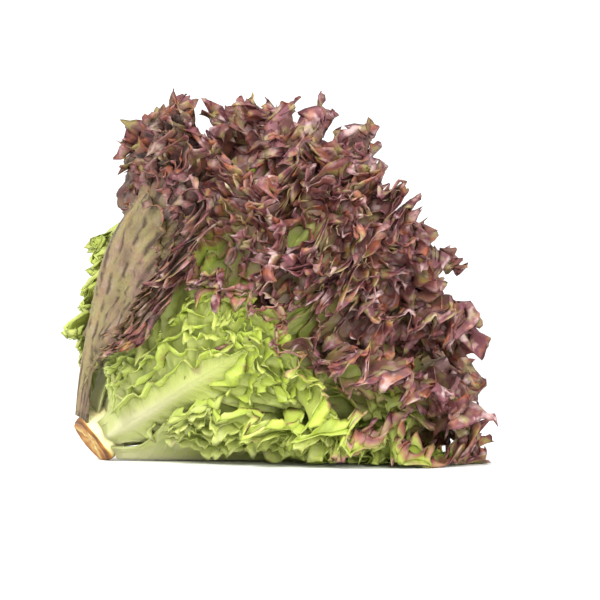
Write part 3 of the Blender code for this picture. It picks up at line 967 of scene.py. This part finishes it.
def stemPoint(heightAlong, radius, azimuth):
    upward = radius * np.sin(azimuth)
    cosTilt, sinTilt = math.cos(head["tilt"]), math.sin(head["tilt"])
    x = head["butt"][0] + heightAlong * cosTilt - upward * sinTilt
    y = head["butt"][1] - radius * np.cos(azimuth)
    z = head["butt"][2] + heightAlong * sinTilt + upward * cosTilt
    return np.stack([x, y, np.maximum(z, 0.0)], axis=-1)


def cutStemMaterial():
    material, tree = newMaterial("oxidisedLettuceStem")
    where = addNode(tree, "ShaderNodeTexCoord").outputs["Object"]
    spots = noiseOf(tree, where, stemColours["spotLength"], 5.0)["Fac"]
    fibres = noiseOf(tree, where, stemColours["fibreLength"], 3.0)["Fac"]
    moved = reckon(tree, "MULTIPLY_ADD", {1: 0.5, 2: -0.25}, {0: spots})
    moved = reckon(tree, "ADD", {}, {0: moved, 1: factOf(tree, "browned")})
    colour = rampOf(tree, moved, [(0.05, stemColours["side"]), (0.32, stemColours["pith"]),
                                  (0.60, stemColours["rust"]), (0.95, stemColours["char"])])
    bump = addNode(tree, "ShaderNodeBump", {"Strength": stemColours["bumpStrength"],
                                            "Distance": stemColours["bumpHeight"]}, {"Height": fibres})
    skin = addNode(tree, "ShaderNodeBsdfPrincipled",
                   {"Roughness": stemColours["roughness"], "IOR": stemColours["ior"]},
                   {"Base Color": colour, "Normal": bump.outputs["Normal"]})
    addNode(tree, "ShaderNodeOutputMaterial", {}, {"Surface": skin.outputs[0]})
    return material


def makeStem():
    draw = random.Random(stemShape["seed"])
    phases = [draw.uniform(0.0, fullTurn) for _ in range(6)]
    sides = stemShape["sides"]
    azimuth = fullTurn * np.arange(sides) / sides
    rings, browned = [], []
    inFace, inSide = stemColours["faceBrown"], stemColours["sideBrown"]
    bevel = stemShape["bevel"]
    bumps = ripple(azimuth / fullTurn, (3, 5, 8), phases[:3])
    for k in range(stemShape["faceRings"]):  # the cut face, from its middle outwards
        share = (k + 0.35) / stemShape["faceRings"]
        radius = share * (1.0 - bevel) * stemShape["radius"]
        sunk = stemShape["hollow"] * (1.0 - share ** 2)
        sunk = sunk + stemShape["faceRipple"] * ripple(share, (2.2, 3.7), phases[3:5])
        height = -stemShape["stub"] + stemShape["cutTurn"] * np.cos(azimuth) * radius + sunk
        height = height + stemShape["faceBumps"] * bumps * share
        rings.append(stemPoint(height, radius, azimuth))
        browned.append(inFace[0] + inFace[1] * share ** 3 + inFace[2] * bumps)
    for k in range(stemShape["rings"]):
        share = k / (stemShape["rings"] - 1)
        height = -stemShape["stub"] + (stemShape["core"] + stemShape["stub"]) * share
        ridge = stemShape["ridgeHeight"] * bumps * (1.0 - share)
        radius = stemRadiusAt(height) * (1.0 - bevel + bevel * smooth(0.0, stemShape["bevelEnd"], share)) + ridge
        tilt = stemShape["cutTurn"] * np.cos(azimuth) * radius * (1.0 - smooth(0.0, stemShape["turnEnd"], share))
        rings.append(stemPoint(height + tilt, radius, azimuth))
        browned.append(inSide[0] * (1.0 - smooth(0.0, inSide[1], share)) + inSide[2] * bumps)
    points = np.concatenate(rings + [stemPoint(-stemShape["stub"] + stemShape["hollow"], 0.0, azimuth[:1])])
    points = np.concatenate([points, stemPoint(stemShape["core"], 0.0, azimuth[:1])])
    faces = []
    for ring in range(len(rings) - 1):
        for side in range(sides):
            after = (side + 1) % sides
            low, high = ring * sides, (ring + 1) * sides
            faces.append((low + side, high + side, high + after))
            faces.append((low + side, high + after, low + after))
    middle, top = len(rings) * sides, len(rings) * sides + 1
    last = (len(rings) - 1) * sides
    for side in range(sides):
        after = (side + 1) % sides
        faces.append((middle, side, after))
        faces.append((top, last + after, last + side))
    faces = np.array(faces)
    brown = np.concatenate([np.broadcast_to(row, (sides,)) for row in browned] + [[inFace[0]], [0.0]])
    uv = points[:, (0, 2)] / (2.0 * stemShape["radius"])
    piece = makeMesh("cut_stem", points, faces, uv, {"browned": brown}, np.zeros(len(faces)),
                     [cutStemMaterial()])
    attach(piece, "root")
    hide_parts("stem")


makeStem()
print("stem made")


# Studio: a pale matte paper floor that shows soft shadows and no mirror image, a pale sky all round,
# a broad key from the upper left and a soft front fill
studio = {
    "floorRadius": 6.0,
    "floorSides": 96,
    "floorDip": 0.2 * mm,
    "floorColour": "#F4F4F2",
    "floorRoughness": 0.9,
    "worldColour": "#FFFFFF",
    "worldStrength": 1.3,
    "keyPower": 31.0,
    "keySize": 0.8,
    "keyPlace": (-0.75, -1.15, 1.25),
    "fillPower": 56.0,
    "fillSize": 1.4,
    "fillPlace": (0.7, -1.8, 0.35),
    "aim": (0.0, 0.0, 0.08),
}


def addLight(name, place, power, size):
    light = bpy.data.lights.new(name, "AREA")
    light.energy = power
    light.size = size
    lamp = bpy.data.objects.new(name, light)
    bpy.context.collection.objects.link(lamp)
    lamp.location = place
    lamp.rotation_euler = (Vector(studio["aim"]) - Vector(place)).to_track_quat("-Z", "Y").to_euler()


def makeStudio():
    sides = studio["floorSides"]
    rim = [(studio["floorRadius"] * math.cos(fullTurn * k / sides),
            studio["floorRadius"] * math.sin(fullTurn * k / sides), -studio["floorDip"]) for k in range(sides)]
    mesh = bpy.data.meshes.new("studio_floor")
    mesh.from_pydata(rim, [], [tuple(range(sides))])
    floor = bpy.data.objects.new("studio_floor", mesh)
    bpy.context.collection.objects.link(floor)
    paper = bpy.data.materials.new("mattePaper")
    paper.use_nodes = True
    sheet = paper.node_tree.nodes["Principled BSDF"]
    sheet.inputs["Base Color"].default_value = toLinear(studio["floorColour"])
    sheet.inputs["Roughness"].default_value = studio["floorRoughness"]
    mesh.materials.append(paper)
    world = bpy.data.worlds.new("studio")
    bpy.context.scene.world = world
    world.use_nodes = True
    sky = world.node_tree.nodes["Background"]
    sky.inputs["Color"].default_value = toLinear(studio["worldColour"])
    sky.inputs["Strength"].default_value = studio["worldStrength"]
    addLight("key", studio["keyPlace"], studio["keyPower"], studio["keySize"])
    addLight("fill", studio["fillPlace"], studio["fillPower"], studio["fillSize"])


view = {
    "distance": 2.0,
    "rise": math.radians(0.7),
    "aim": (8.75 * mm, 0.0, 80.0 * mm),
    "frameWidth": 300.0 * mm,
    "sensor": 36.0,
}


def makeCamera():
    camera = bpy.data.cameras.new("camera")
    camera.sensor_width = view["sensor"]
    camera.lens = view["sensor"] * view["distance"] / view["frameWidth"]
    eye = bpy.data.objects.new("camera", camera)
    bpy.context.collection.objects.link(eye)
    aim = Vector(view["aim"])
    away = Vector((0.0, -math.cos(view["rise"]), math.sin(view["rise"])))
    eye.location = aim + away * view["distance"]
    eye.rotation_euler = (-away).to_track_quat("-Z", "Y").to_euler()
    bpy.context.scene.camera = eye
    bpy.context.scene.view_settings.view_transform = "Standard"


makeStudio()
makeCamera()
print("studio and camera made")
